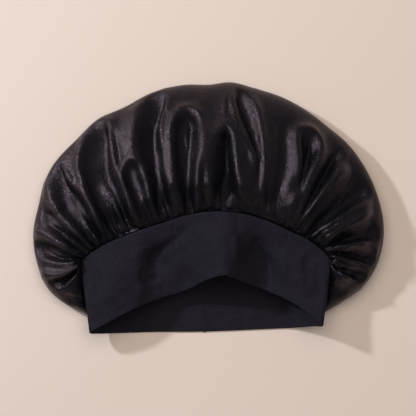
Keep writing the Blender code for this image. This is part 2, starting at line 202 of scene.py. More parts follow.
bandSet = {
    "hemWidth": 229 * mm, "seamWidth": 246 * mm, "depth": 65 * mm, "hemSetback": 59 * mm,
    "seamArch": 56 * mm, "openingHeight": 52 * mm, "seamHeight": 45 * mm, "wall": 2.4 * mm,
    # across, hem along, hem up, seam along, seam up: shares, front from left to right
    "front": [
        (-1.00, 0.02, 0.48, 0.10, 0.53), (-0.85, 0.20, 0.64, 0.36, 0.62),
        (-0.60, 0.45, 0.58, 0.61, 0.73), (-0.35, 0.63, 0.34, 0.79, 0.82),
        (-0.15, 0.76, 0.42, 0.93, 0.91), (0.02, 0.93, 0.80, 0.99, 0.98),
        (0.14, 1.00, 1.00, 0.99, 1.00), (0.34, 0.87, 0.66, 0.93, 0.96),
        (0.50, 0.75, 0.44, 0.82, 0.91), (0.66, 0.62, 0.52, 0.66, 0.83),
        (0.85, 0.41, 0.64, 0.45, 0.74), (1.00, 0.15, 0.69, 0.11, 0.64),
    ],
    # the same, back from right to left
    "back": [
        (0.93, 0.13, 0.35, 0.05, 0.31), (0.80, 0.10, 0.08, 0.02, 0.08),
        (0.50, 0.07, 0.00, 0.00, 0.00), (0.00, 0.03, 0.00, 0.00, 0.00),
        (-0.50, 0.02, 0.00, 0.00, 0.00), (-0.82, 0.00, 0.02, 0.02, 0.04),
        (-0.94, 0.00, 0.21, 0.05, 0.24),
    ],
    # dents and bulges of the front: across, along, wide, long, up in mm
    "dents": [
        (-0.80, 0.55, 0.17, 0.42, 6.0), (-0.58, 0.20, 0.14, 0.30, 3.0), (-0.41, 0.50, 0.11, 0.36, -9.5),
        (-0.22, 0.28, 0.06, 0.22, 3.0), (0.02, 0.52, 0.18, 0.46, 5.5), (0.42, 0.40, 0.12, 0.42, -8.5),
        (0.60, 0.45, 0.07, 0.42, 3.0), (0.74, 0.52, 0.15, 0.46, 4.5), (0.90, 0.30, 0.06, 0.30, -2.5),
    ],
    # creases of the front: path of (across, along from hem to seam), half widths in mm, up in mm, fades
    "creases": [
        (((-0.06, 0.94), (-0.24, 0.74), (-0.50, 0.58)), (3.4, 6), -6.0, (0.15, 0.2)),
        (((-0.54, 0.50), (-0.50, 0.34), (-0.34, 0.26)), (3, 4), -3.4, (0.3, 0.3)),
        (((-0.395, 0.00), (-0.385, 0.26)), (1.6, 2.4), 2.4, (0, 0.6)),
        (((-0.345, 0.00), (-0.35, 0.30)), (2.0, 3.0), -2.6, (0, 0.6)),
        (((-0.93, 0.90), (-0.86, 0.55), (-0.88, 0.25)), (3, 5), -3.0, (0.3, 0.4)),
        (((-0.66, 0.94), (-0.70, 0.66)), (3, 4), -2.0, (0.2, 0.6)),
        (((0.49, 0.00), (0.51, 0.34), (0.44, 0.60), (0.30, 0.90)), (3.2, 5.5), -3.4, (0, 0.4)),
        (((0.20, 0.05), (0.24, 0.40), (0.20, 0.85)), (4, 5), 2.6, (0.2, 0.4)),
        (((0.86, 0.94), (0.80, 0.55), (0.84, 0.20)), (3, 5), -3.0, (0.3, 0.6)),
        (((0.66, 0.92), (0.60, 0.62)), (3, 4), -2.2, (0.3, 0.6)),
        (((0.06, 0.96), (0.02, 0.70)), (4, 5), -1.4, (0.2, 0.6)),
        (((0.74, 0.14), (0.93, 0.22)), (3, 4), -1.8, (0.3, 0.4)),
    ],
    "hemShare": 0.08,  # the dents fade towards hem and seam along half a wave, and the hem is this far into it
    "frontColumns": 260, "backColumns": 200, "outerRows": 40, "hemRows": 8, "innerRows": 30, "cornerCrowding": 0.6,
    # the centre-back seam: a groove between two soft welts, which puckers the hem and shows half as deep outside
    "join": -1.5 * mm, "joinDepth": 0.9 * mm, "joinHalf": 0.5 * mm,
    "weltPlace": 1.6 * mm, "weltHeight": 0.3 * mm, "weltHalf": 0.7 * mm, "outerJoin": -0.5,
    "hemPucker": 0.8 * mm, "hemPuckerHalf": 1.2 * mm,
    "joinColumns": (0.2, 0.45, 0.7, 1, 1.4, 2, 3), "joinRoom": 3.5,  # in mm, on either side
}


def bandCurves():
    lowest = bandSet["wall"] / 2
    rows = np.array(bandSet["front"] + bandSet["back"])
    hem = np.column_stack([rows[:, 0] * bandSet["hemWidth"] / 2, rows[:, 1] * bandSet["hemSetback"],
                           lowest + rows[:, 2] * bandSet["openingHeight"]])
    seam = np.column_stack([rows[:, 0] * bandSet["seamWidth"] / 2,
                            bandSet["depth"] + rows[:, 3] * bandSet["seamArch"],
                            lowest + rows[:, 4] * bandSet["seamHeight"]])
    shares = chordShares(seam, closed=True)
    curves = [curveThrough(points, shares, True) for points in (hem, seam)]
    onTable = [lambda s, c=c: np.maximum(c(s), (-np.inf, -np.inf, lowest)) for c in curves]
    return onTable[0], onTable[1], shares[len(bandSet["front"]) - 1]


hemAt, seamAt, frontEnd = bandCurves()
bandLow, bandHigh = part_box("band")
middleX = seamAt([0.0, frontEnd])[:, 0].mean()
hemStart = hemAt(np.linspace(0, 1, 2000))[:, 1].min()
# the curves start at the hem and at the band's middle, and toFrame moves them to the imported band
toFrame = np.array([(bandLow[0] + bandHigh[0]) / 2 - middleX, bandLow[1] - hemStart, 0])


def bandColumns():  # round the loop, closer together at the two folded corners and beside the centre-back seam
    spread = [np.arange(count) / count for count in (bandSet["frontColumns"], bandSet["backColumns"])]
    spread = [crowdEnds(half, bandSet["cornerCrowding"]) for half in spread]
    shares = np.concatenate([spread[0] * frontEnd, frontEnd + spread[1] * (1 - frontEnd)])
    back = np.linspace(frontEnd, 1, 400)
    join = np.interp(-bandSet["join"], -hemAt(back)[:, 0], back)
    length = np.linalg.norm(np.diff(seamAt(np.linspace(0, 1, 800)), axis=0), axis=1).sum()
    oneSide = np.array(bandSet["joinColumns"])
    beside = np.concatenate([-oneSide[::-1], [0], oneSide]) * mm / length
    shares = shares[np.abs(shares - join) > bandSet["joinRoom"] * mm / length]
    shares = np.sort(np.concatenate([shares, join + beside]))
    return shares, (shares - join) * length


def bandProfile():  # round the doubled cloth: outer wall down to the hem, the fold, inner wall up
    rows = [(w, 1.0) for w in np.linspace(1, 0, bandSet["outerRows"])]
    turn = np.linspace(0, math.pi, bandSet["hemRows"] + 2)[1:-1]
    rows += [(-math.sin(a), math.cos(a)) for a in turn]
    rows += [(w, -1.0) for w in np.linspace(0, 1, bandSet["innerRows"])]
    return np.array(rows + rows[:1])


def makeBand():
    shares, fromJoin = bandColumns()
    hem, seam = hemAt(shares), seamAt(shares)
    down = hem - seam
    down /= np.linalg.norm(down, axis=1)[:, None]
    profile = bandProfile()
    along = np.maximum(profile[:, 0], 0)[:, None, None]
    middle = (1 - along) * hem + along * seam
    normals = np.cross(np.roll(middle, -1, axis=1) - np.roll(middle, 1, axis=1), down[None])
    normals /= np.linalg.norm(normals, axis=2)[:, :, None]
    places = middle[:, :, 0] / (bandSet["seamWidth"] / 2)
    ways = np.broadcast_to(along[:, :, 0], places.shape)
    lift = np.zeros(places.shape)
    for across, way, wide, long, up in bandSet["dents"]:
        lift += up * mm * np.exp(-(((places - across) / wide) ** 2) - ((ways - way) / long) ** 2)
    sizes = np.ones(lift.size)
    lift = lift.ravel() + relief(bandSet["creases"], places.ravel(), ways.ravel(),
                                 sizes * bandSet["seamWidth"] / 2, sizes * bandSet["depth"])
    free = bandSet["hemShare"] + (1 - bandSet["hemShare"]) * ways
    lift = lift.reshape(ways.shape) * np.sin(math.pi * free) ** 2
    middle[:, :, 2] += np.where(shares <= frontEnd, lift, 0)
    groove = bandSet["joinDepth"] * bell(fromJoin, bandSet["joinHalf"])
    groove -= bandSet["weltHeight"] * bell(np.abs(fromJoin) - bandSet["weltPlace"], bandSet["weltHalf"])
    fold = bandSet["wall"] / 2 + bandSet["hemPucker"] * bell(fromJoin, bandSet["hemPuckerHalf"])
    beyond = np.maximum(-profile[:, 0], 0)[:, None] * fold
    inOrOut = np.where(profile[:, 1] < 0, 1, bandSet["outerJoin"])[:, None]
    side = profile[:, 1][:, None] * bandSet["wall"] / 2 + inOrOut * groove
    points = middle + down * beyond[:, :, None] + normals * side[:, :, None] + toFrame
    points[:, :, 2] = np.maximum(points[:, :, 2], 0)
    band = clothGrid("knitBand", np.concatenate([points, points[:, :1]], axis=1))
    sewEdges(band)
    bpy.ops.object.shade_smooth()
    return band


def loopShare(share, back):  # from the left corner to the right one, on the front or on the back
    return np.where(back, 1 - share * (1 - frontEnd), share * frontEnd)


# the crown: one piece of satin, gathered round its whole edge into the band

crownSet = {
    "width": 347 * mm, "length": 183.5 * mm, "wall": 1.3 * mm, "rim": 20 * mm, "roll": 22 * mm,
    "crest": 15 * mm, "crestPlace": 0.55, "roundness": 0.45, "seamDrop": 0.25,
    "lead": 0.33, "rollMost": 0.5, "innerSlack": 2.6 * mm, "slackWays": (0.03, 0.3),
    # the two sides, where front and back meet in one crease
    "creaseEnd": 6 * mm, "creaseStart": 0.12, "creaseReach": 0.7,
    "sideRounding": 45 * mm, "sideMatch": 0.03, "sideRise": 0.2,
    # beside the band: the cloth rises from the seam, and the lobes lie against the folded edges
    "seamGap": 0.4 * mm, "stand": 1.0 * mm, "rootDrop": 1.0 * mm,
    "puff": 3.0 * mm, "puffRise": 3.0 * mm, "puffFall": 27 * mm,
    "lobeGap": 0.3 * mm, "tuck": 3.5 * mm, "tuckStart": 4.5 * mm, "tuckRate": 1.1,
    # the folds: how far they count beside the seam and at the outline, and their form
    "seamShare": 0.3, "seamReach": 0.18, "rimFlat": 0.93, "rimCalm": 0.65, "soft": 0.011,
    "lean": 0.4, "valleyPower": 3.4, "hollowPower": 1.5,
    "slant": 0.6, "slantTurn": 0.17, "slantOver": 0.06,  # the hollows' floors turn from the lamp
    # seam at, leaves in degrees, across, along, rim, crest
    "fan": [
        (0.000, 277, -0.676, -0.256, 0.30, 0.3), (0.004, 252, -0.790, -0.207, 0.45, 0.4),
        (0.009, 226, -0.900, -0.120, 0.55, 0.5), (0.016, 200, -0.963, 0.011, 0.60, 0.45),
        (0.030, 174, -0.988, 0.185, 0.60, 0.5), (0.060, 152, -0.957, 0.338, 0.60, 0.5),
        (0.105, 136, -0.890, 0.530, 0.60, 0.6), (0.165, 124, -0.726, 0.703, 0.65, 0.65),
        (0.220, 118, -0.588, 0.812, 0.65, 0.8), (0.295, 113, -0.450, 0.872, 0.70, 0.9),
        (0.370, 108, -0.311, 0.943, 0.70, 1.0), (0.450, 100, -0.121, 0.986, 0.70, 1.0),
        (0.505, 95, 0.020, 0.987, 0.70, 1.0), (0.560, 91, 0.140, 1.000, 0.70, 1.0),
        (0.630, 84, 0.275, 0.968, 0.75, 1.0), (0.710, 74, 0.455, 0.910, 0.80, 1.0),
        (0.780, 62, 0.628, 0.810, 0.85, 0.9), (0.812, 58, 0.714, 0.744, 0.85, 0.9),
        (0.840, 54, 0.794, 0.681, 0.90, 0.9), (0.885, 46, 0.888, 0.567, 0.95, 0.8),
        (0.925, 33, 0.968, 0.414, 1.00, 0.8), (0.965, 9, 1.012, 0.160, 1.00, 0.7),
        (0.984, -20, 0.966, -0.003, 0.90, 0.6), (0.991, -46, 0.889, -0.110, 0.80, 0.5),
        (0.996, -70, 0.778, -0.186, 0.60, 0.4), (1.000, -96, 0.676, -0.245, 0.40, 0.3),
    ],
    "columns": 600, "rows": 62, "seamCrowding": 1.3, "sideCrowding": 0.3,
    "innerColumns": 200, "innerRows": 31,
}


def fanCurve():
    rows = np.array(crownSet["fan"])
    x = rows[:, 2] * crownSet["width"] / 2
    y = bandSet["depth"] + rows[:, 3] * crownSet["length"]
    outline = np.column_stack([x, y])
    length = np.linalg.norm(np.diff(outline, axis=0), axis=1).sum()
    rows = np.column_stack([rows[:, 0], np.radians(rows[:, 1]), x, y, rows[:, 4], rows[:, 5]])
    return curveThrough(rows, chordShares(outline)), length


fanAt, outlineLength = fanCurve()
seamLength = np.linalg.norm(np.diff(seamAt(np.linspace(0, frontEnd, 200)), axis=0), axis=1).sum()


def outward(u):  # square to the outline, in plan
    step = 0.001
    along = fanAt(np.clip(u + step, 0, 1))[:, 2:4] - fanAt(np.clip(u - step, 0, 1))[:, 2:4]
    along /= np.linalg.norm(along, axis=1)[:, None]
    return np.column_stack([-along[:, 1], along[:, 0]])


def sideSwell(u):
    inside = np.clip(np.minimum(u, 1 - u) * outlineLength / crownSet["sideRounding"], 0, 1)
    return np.sqrt(1 - (1 - inside) ** 2)


def crownRoot(u, back, stand):
    shares = loopShare(fanAt(u)[:, 0], back)
    seam = seamAt(shares)
    away = seam - hemAt(shares)
    away /= np.linalg.norm(away, axis=1)[:, None]
    return seam + away * (crownSet["seamGap"] + stand)


def fanPlan(u, b, back):
    row = fanAt(u)
    start = crownRoot(u, back, crownSet["stand"])[:, :2]
    end = row[:, 2:4]
    chord = np.linalg.norm(end - start, axis=1)[:, None]
    leave = np.column_stack([np.cos(row[:, 1]), np.sin(row[:, 1])])
    first = start + leave * chord * crownSet["lead"]
    second = end - outward(u) * chord * crownSet["lead"] * sideSwell(u)[:, None]
    b = b[:, None]
    plan = (1 - b)**3 * start + 3 * (1 - b)**2 * b * first + 3 * (1 - b) * b**2 * second + b**3 * end
    return plan, chord[:, 0]


def sideBlend(height, u, b):  # rounds a sheet down, or up, to the creases at the two sides
    left, right = seamAt([0.0, frontEnd])[:, 2]
    corner = np.where(u < 0.5, left, right)
    crease = crownSet["creaseEnd"] + (corner - crownSet["creaseEnd"]) * (1 - ease(b / crownSet["creaseReach"]))
    return crease + (height - crease) * (1 + (sideSwell(u) - 1) * ease(b / crownSet["creaseStart"]))


def clearOfBand(points, b):  # the lobes lie beside the band's folded edges, and a little under them where low enough
    for corner in (0.0, frontEnd):
        hem, seam = hemAt(corner)[0], seamAt(corner)[0]
        along = (points[:, 1] - hem[1]) / (seam[1] - hem[1])
        edge = hem + (seam - hem) * np.maximum(along, 0)[:, None]
        under = crownSet["tuckRate"] * (edge[:, 2] - points[:, 2]) - crownSet["tuckStart"]
        reach = np.abs(edge[:, 0]) + bandSet["wall"] / 2 + crownSet["lobeGap"] + crownSet["wall"] / 2
        reach -= np.clip(under, 0, crownSet["tuck"])
        beside = (points[:, 0] * seam[0] > 0) & (along < 1) & (b > crownSet["creaseStart"])
        beside &= np.abs(points[:, 0]) < reach
        points[beside, 0] = (np.sign(seam[0]) * reach)[beside]
    return points


# hollows between the large folds: depth in mm, the top and the length of its round end, the foot and the length of
# its round end (all four as ways from the seam to the outline, and a foot of -1 is open to the seam), then the left
# rim and the right rim as (place along the outline, way)
hollows = [
    (6.4, 0.88, 0.10, -1, 0.1, ((0.205, 0.0), (0.198, 0.40), (0.197, 0.67), (0.215, 0.90), (0.235, 1.0)),
     ((0.262, 0.0), (0.260, 0.53), (0.249, 0.73), (0.254, 0.90), (0.262, 1.0))),
    (8.8, 0.86, 0.12, -1, 0.1,
     ((0.278, 0.0), (0.273, 0.34), (0.272, 0.59), (0.283, 0.82), (0.305, 0.94), (0.318, 1.0)),
     ((0.354, 0.0), (0.348, 0.38), (0.335, 0.57), (0.338, 0.78), (0.345, 0.93), (0.350, 1.0))),
    (6.4, 0.47, 0.10, -1, 0.1, ((0.364, 0.0), (0.358, 0.25), (0.353, 0.42), (0.360, 0.60)),
     ((0.386, 0.0), (0.388, 0.20), (0.385, 0.35), (0.377, 0.60))),
    (10.4, 0.90, 0.09, -1, 0.1,
     ((0.390, 0.0), (0.387, 0.20), (0.385, 0.36), (0.377, 0.58), (0.380, 0.76), (0.393, 0.89), (0.405, 1.0)),
     ((0.428, 0.0), (0.424, 0.26), (0.418, 0.40), (0.418, 0.54), (0.420, 0.74), (0.432, 0.86), (0.446, 1.0))),
    (8, 0.69, 0.10, -1, 0.1, ((0.440, 0.0), (0.438, 0.32), (0.438, 0.60), (0.445, 0.80)),
     ((0.470, 0.0), (0.478, 0.24), (0.488, 0.52), (0.488, 0.80))),
    (8, 0.54, 0.10, -1, 0.1, ((0.506, 0.0), (0.503, 0.20), (0.506, 0.41), (0.512, 0.65)),
     ((0.560, 0.0), (0.552, 0.19), (0.547, 0.36), (0.541, 0.65))),
    (7.6, 0.84, 0.13, 0.44, 0.30,
     ((0.583, 0.30), (0.581, 0.43), (0.566, 0.58), (0.553, 0.72), (0.540, 0.87), (0.536, 1.0)),
     ((0.592, 0.30), (0.590, 0.48), (0.583, 0.67), (0.573, 0.82), (0.560, 0.92), (0.552, 1.0))),
    (6, 0.74, 0.10, 0.46, 0.16, ((0.666, 0.30), (0.664, 0.56), (0.651, 0.76), (0.648, 0.90)),
     ((0.678, 0.30), (0.682, 0.54), (0.687, 0.69), (0.686, 0.90))),
    (6, 0.76, 0.16, -1, 0.1, ((0.683, 0.0), (0.692, 0.30), (0.699, 0.60), (0.704, 0.95)),
     ((0.698, 0.0), (0.712, 0.30), (0.724, 0.60), (0.728, 0.95))),
    (7.2, 0.80, 0.14, -1, 0.1, ((0.716, 0.0), (0.745, 0.45), (0.755, 0.75), (0.765, 0.95)),
     ((0.750, 0.0), (0.785, 0.45), (0.800, 0.75), (0.800, 0.95))),
    (6.4, 0.80, 0.12, -1, 0.1, ((0.788, 0.0), (0.824, 0.45), (0.832, 0.80), (0.840, 0.95)),
     ((0.822, 0.0), (0.856, 0.45), (0.866, 0.80), (0.866, 0.95))),
    (6.4, 0.78, 0.14, -1, 0.1, ((0.838, 0.0), (0.868, 0.42), (0.876, 0.80), (0.882, 0.95)),
     ((0.872, 0.0), (0.898, 0.45), (0.904, 0.80), (0.904, 0.95))),
    (6.4, 0.80, 0.12, -1, 0.1, ((0.955, 0.0), (0.920, 0.40), (0.912, 0.80), (0.914, 0.95)),
     ((0.987, 0.0), (0.944, 0.50), (0.936, 0.80), (0.934, 0.95))),
    (4.8, 0.80, 0.12, -1, 0.1, ((0.160, 0.0), (0.163, 0.45), (0.166, 0.80), (0.170, 0.95)),
     ((0.198, 0.0), (0.190, 0.40), (0.188, 0.70), (0.190, 0.95))),
    (8, 0.86, 0.12, -1, 0.1, ((0.098, 0.0), (0.102, 0.45), (0.110, 0.80), (0.116, 0.98)),
     ((0.142, 0.0), (0.146, 0.45), (0.144, 0.75), (0.140, 0.98))),
    (6.4, 0.74, 0.14, 0.30, 0.14, ((0.030, 0.10), (0.046, 0.50), (0.056, 0.85)),
     ((0.056, 0.10), (0.074, 0.50), (0.084, 0.85))),
]


def hollow(u, b):
    lift = np.zeros(len(u))
    for depth, top, topEnd, foot, footEnd, left, right in hollows:
        rims = [curveThrough([(p[0],) for p in side], [p[1] for p in side]) for side in (left, right)]
        low, high = left[0][1], left[-1][1]
        near = np.where((b < top + topEnd) & (b > foot - footEnd))[0]
        way = b[near]
        leftRim, rightRim = (rim(np.clip(way, low, high))[:, 0] for rim in rims)
        across = (2 * u[near] - leftRim - rightRim) / (rightRim - leftRim)
        ends = np.maximum(0, (way - top) / topEnd) ** 2 + np.maximum(0, (foot - way) / footEnd) ** 2
        slant = crownSet["slant"] * np.clip((u[near] - crownSet["slantTurn"]) / crownSet["slantOver"], -1, 1)
        bowl = np.maximum(0, 1 - (across**2 + ends) ** crownSet["hollowPower"])
        lift[near] -= depth * mm * bowl * (1 + slant * np.clip(across, -1, 1))
    return lift


# folds of the crown. Each path runs through (place along the outline, way from the seam to the outline), and is
# followed by its half widths in mm at start and end, its height in mm, below 0 for a valley, and the shares of the
# path over which it fades in and out. A ridge is fuller on the left of its path, and one that turns back at its far
# end goes round a hollow
valleys = [
    (((0.00, 0.60), (0.028, 0.82), (0.05, 0.92)), (3, 5), -2, (0.3, 0.3)),
    (((0.413, 0.03), (0.410, 0.30), (0.408, 0.62)), (2, 4), -2.5, (0.1, 0.3)),
    (((0.504, 0.02), (0.504, 0.20)), (3, 4), -2.5, (0.0, 0.4)),
    (((0.612, 0.06), (0.630, 0.38), (0.628, 0.64), (0.615, 0.90)), (4, 9), -4, (0.1, 0.3)),
    (((0.994, 0.30), (0.970, 0.66), (0.962, 0.92)), (3, 6), -3, (0.2, 0.25)),
    (((0.905, 0.06), (0.910, 0.45), (0.908, 0.85)), (2, 4), -2, (0.1, 0.25)),
]
ridges = [
    (((0.207, 0.08), (0.198, 0.41), (0.197, 0.67), (0.214, 0.89), (0.236, 0.985)), (3, 7), 3.9, (0.1, 0.1)),
    (((0.264, 0.08), (0.262, 0.53), (0.252, 0.73), (0.254, 0.93)), (3, 5), 3.3, (0.1, 0.2)),
    (((0.278, 0.05), (0.272, 0.40), (0.272, 0.62), (0.286, 0.84), (0.315, 0.965), (0.338, 0.985), (0.346, 0.93),
      (0.338, 0.78), (0.335, 0.57), (0.348, 0.38), (0.354, 0.12)), (4.5, 3.5), 4.5, (0.06, 0.08)),
    (((0.334, 0.08), (0.322, 0.30), (0.296, 0.58)), (2, 4), 2.7, (0.2, 0.4)),
    (((0.364, 0.05), (0.357, 0.25), (0.352, 0.42), (0.357, 0.53), (0.367, 0.57), (0.377, 0.53), (0.385, 0.38),
      (0.388, 0.20), (0.387, 0.06)), (2.6, 2.2), 3.3, (0.08, 0.08)),
    (((0.390, 0.12), (0.385, 0.36), (0.377, 0.58), (0.380, 0.76), (0.393, 0.90), (0.416, 0.985)),
     (3.5, 8), 4.8, (0.1, 0.15)),
    (((0.428, 0.12), (0.424, 0.26), (0.419, 0.42), (0.418, 0.56), (0.421, 0.76), (0.433, 0.88), (0.450, 0.98)),
     (3.2, 5), 4.2, (0.1, 0.3)),
    (((0.440, 0.14), (0.438, 0.36), (0.438, 0.58), (0.444, 0.72), (0.455, 0.785), (0.468, 0.80), (0.480, 0.76),
      (0.488, 0.67), (0.488, 0.52), (0.479, 0.24), (0.473, 0.04)), (3.5, 5), 4.2, (0.1, 0.06)),
    (((0.503, 0.10), (0.503, 0.34), (0.506, 0.48), (0.513, 0.585), (0.525, 0.64), (0.537, 0.60), (0.544, 0.50),
      (0.549, 0.34), (0.560, 0.08)), (9, 3.2), 4.5, (0.1, 0.08)),
    (((0.586, 0.38), (0.566, 0.58), (0.552, 0.72), (0.539, 0.87), (0.536, 0.96)), (2.2, 4), 3.3, (0.1, 0.2)),
    (((0.592, 0.06), (0.591, 0.45), (0.584, 0.67), (0.574, 0.82), (0.560, 0.95)), (4.5, 6.5), 4.8, (0.1, 0.15)),
    (((0.562, 0.06), (0.582, 0.42)), (2.4, 3), 2.7, (0.1, 0.4)),
    (((0.666, 0.36), (0.662, 0.56), (0.650, 0.74), (0.652, 0.83), (0.667, 0.86), (0.681, 0.81), (0.687, 0.69),
      (0.682, 0.54), (0.668, 0.30), (0.648, 0.10)), (5, 3.5), 4.5, (0.12, 0.08)),
    (((0.684, 0.10), (0.692, 0.35), (0.698, 0.70), (0.702, 0.90)), (2.5, 5), 3, (0.1, 0.3)),
    (((0.700, 0.08), (0.709, 0.26), (0.725, 0.48), (0.738, 0.68), (0.744, 0.88)), (3.6, 5.6), 6.8, (0.08, 0.2)),
    (((0.752, 0.08), (0.786, 0.46), (0.802, 0.76), (0.806, 0.94)), (2.6, 6), 3.6, (0.1, 0.2)),
    (((0.784, 0.08), (0.816, 0.52), (0.818, 0.90)), (3.4, 5.6), 6.2, (0.08, 0.25)),
    (((0.826, 0.08), (0.858, 0.46), (0.868, 0.84)), (2.4, 6), 3.3, (0.1, 0.3)),
    (((0.158, 0.20), (0.155, 0.50), (0.155, 0.97)), (3, 6), 3.9, (0.2, 0.1)),
    (((0.192, 0.20), (0.180, 0.66), (0.165, 0.93)), (2.4, 4), 2.7, (0.3, 0.3)),
    (((0.045, 0.05), (0.072, 0.50), (0.086, 0.80), (0.098, 0.97)), (2.6, 6), 4.2, (0.1, 0.15)),
    (((0.085, 0.10), (0.095, 0.16), (0.086, 0.24)), (2.4, 2.4), 2.1, (0.2, 0.3)),
    (((0.010, 0.50), (0.018, 0.80), (0.026, 0.92)), (4, 6), 3, (0.3, 0.3)),
    (((0.950, 0.12), (0.946, 0.40), (0.942, 0.75)), (3, 7), 3.6, (0.2, 0.4)),
    (((0.885, 0.50), (0.888, 0.95)), (4, 8), 2.7, (0.4, 0.2)),
    (((0.120, 0.30), (0.122, 0.90)), (3, 5), 1.8, (0.3, 0.3)),
]
backValleys = [
    (((0.14, 0.03), (0.12, 0.40), (0.10, 0.75)), (5, 12), -4, (0, 0.2)),
    (((0.24, 0.03), (0.23, 0.35), (0.21, 0.66)), (5, 13), -4, (0, 0.2)),
    (((0.33, 0.03), (0.32, 0.30), (0.31, 0.58)), (5, 12), -4, (0, 0.2)),
    (((0.42, 0.03), (0.42, 0.36), (0.42, 0.68)), (5, 13), -4, (0, 0.2)),
    (((0.53, 0.03), (0.54, 0.30), (0.54, 0.55)), (5, 12), -4, (0, 0.2)),
    (((0.62, 0.03), (0.64, 0.35), (0.65, 0.70)), (5, 13), -4, (0, 0.2)),
    (((0.71, 0.03), (0.73, 0.30), (0.74, 0.60)), (5, 12), -4, (0, 0.2)),
    (((0.80, 0.03), (0.82, 0.36), (0.84, 0.72)), (5, 12), -4, (0, 0.2)),
]
gatherSet = {
    "seed": 11, "valleyPower": 1.5,
    # small, right at the seam. Depths and half widths are in mm, the rest are shares and ways
    "puckers": {"spacing": 6.4 * mm, "jitter": 0.35, "depth": (2.2, 3.8), "start": -0.02, "reach": (0.12, 0.32),
                "half": (1.7, 2.7), "widening": 1.7, "lean": 0.004, "fades": (0, 0.6)},
    # longer, between the large folds, with two valleys to each ridge
    "pleats": {"count": 50, "place": (0.1, 0.9), "depth": (1.8, 3.6), "signs": (-1, -1, 0.8), "start": 0.01,
               "reach": (0.20, 0.52), "half": (1.6, 4.4), "lean": 0.006, "fades": (0.1, 0.6)},
    # soft, anywhere on the cloth
    "creases": {"count": 70, "place": (0.13, 0.93), "depth": (0.4, 1.3), "signs": (-1, 1), "start": (0.05, 0.75),
                "reach": (0.15, 0.45), "half": (2.0, 5.5), "taper": 0.7, "lean": 0.012, "fades": (0.4, 0.4)},
}


def seamToOutline(share):  # the outline's share whose section starts at this share of the seam
    table = np.linspace(0, 1, 2001)
    return float(np.interp(share, fanAt(table)[:, 0], table))


def gathers(seed):  # the puckers, and the pleats and creases, as folds at seeded random places
    dice = random.Random(seed)
    puckers, others = [], []
    kind = gatherSet["puckers"]
    count = int(seamLength / kind["spacing"])
    for k in range(count):
        u = seamToOutline((k + 0.5 + dice.uniform(-1, 1) * kind["jitter"]) / count)
        reach, half = dice.uniform(*kind["reach"]), dice.uniform(*kind["half"])
        lean = dice.uniform(-kind["lean"], kind["lean"])
        path = ((u, kind["start"]), (u + lean, reach))
        puckers.append((path, (half, half * kind["widening"]), -dice.uniform(*kind["depth"]), kind["fades"]))
    kind = gatherSet["pleats"]
    for k in range(kind["count"]):
        u = seamToOutline((k + dice.uniform(*kind["place"])) / kind["count"])
        reach, lean = dice.uniform(*kind["reach"]), dice.uniform(-kind["lean"], kind["lean"])
        up = dice.uniform(*kind["depth"]) * dice.choice(kind["signs"])
        others.append((((u, kind["start"]), (u + lean, reach)), kind["half"], up, kind["fades"]))
    kind = gatherSet["creases"]
    for k in range(kind["count"]):
        u, start = dice.uniform(*kind["place"]), dice.uniform(*kind["start"])
        reach, lean = dice.uniform(*kind["reach"]), dice.uniform(-kind["lean"], kind["lean"])
        half = dice.uniform(*kind["half"])
        up = dice.uniform(*kind["depth"]) * dice.choice(kind["signs"])
        others.append((((u, start), (u + lean, start + reach)), (half * kind["taper"], half), up, kind["fades"]))
    return puckers, others


def soften(lift, across, along):  # evens a grid of heights, as thick cloth does
    for times, axis in ((across, 1), (along, 0)):
        for k in range(times):
            edge = [(1, 1) if a == axis else (0, 0) for a in (0, 1)]
            wide = np.pad(lift, edge, mode="edge")
            before, after = (wide[:, :-2], wide[:, 2:]) if axis else (wide[:-2], wide[2:])
            lift = (before + 2 * lift + after) / 4
    return lift


def clothPush(folds, small, u, b, chord):  # how far the folds move the crown's cloth out, in metres
    around = seamLength + (outlineLength - seamLength) * b
    push = relief(folds, u, b, around, chord, crownSet["lean"], crownSet["valleyPower"])
    if folds is not backValleys:
        push += hollow(u, b)
    push *= crownSet["seamShare"] + (1 - crownSet["seamShare"]) * ease(b / crownSet["seamReach"])
    columns = int(np.argmax(u)) + 1
    across, along = round(crownSet["soft"] * columns), round(crownSet["soft"] * len(u) / columns)
    push = soften(push.reshape(-1, columns), across, along).ravel()
    push += relief(small, u, b, around, chord, 0.0, gatherSet["valleyPower"])
    rim = 1 - crownSet["rimCalm"] * ease((b - crownSet["rimFlat"]) / (1 - crownSet["rimFlat"]))
    return push * rim * sideSwell(u)


def wayOut(t):  # rows stand closer together at the seam and at the outline
    return np.sin(t ** crownSet["seamCrowding"] * math.pi / 2)


def crownFront(u, t, small):
    b = wayOut(t)
    plan, chord = fanPlan(u, b, False)
    row = fanAt(u)
    rim = row[:, 4] * crownSet["rim"]
    root = crownRoot(u, False, crownSet["stand"])[:, 2]
    height = rim + (root - rim) * (1 - b**2) ** crownSet["roundness"]
    height += row[:, 5] * crownSet["crest"] * np.sin(math.pi * b ** crownSet["crestPlace"])
    height = sideBlend(height, u, b)
    away = b * chord
    swell = (1 - np.exp(-away / crownSet["puffRise"])) * np.exp(-away / crownSet["puffFall"])
    height += crownSet["puff"] * sideSwell(u) * swell
    push = clothPush(valleys + ridges, small, u, b, chord)
    tilt = math.pi / 2 * b**3  # folds push up on top, and outwards at the outline
    points = np.column_stack([plan + outward(u) * (np.sin(tilt) * push)[:, None], height + np.cos(tilt) * push])
    return clearOfBand(points, b), b


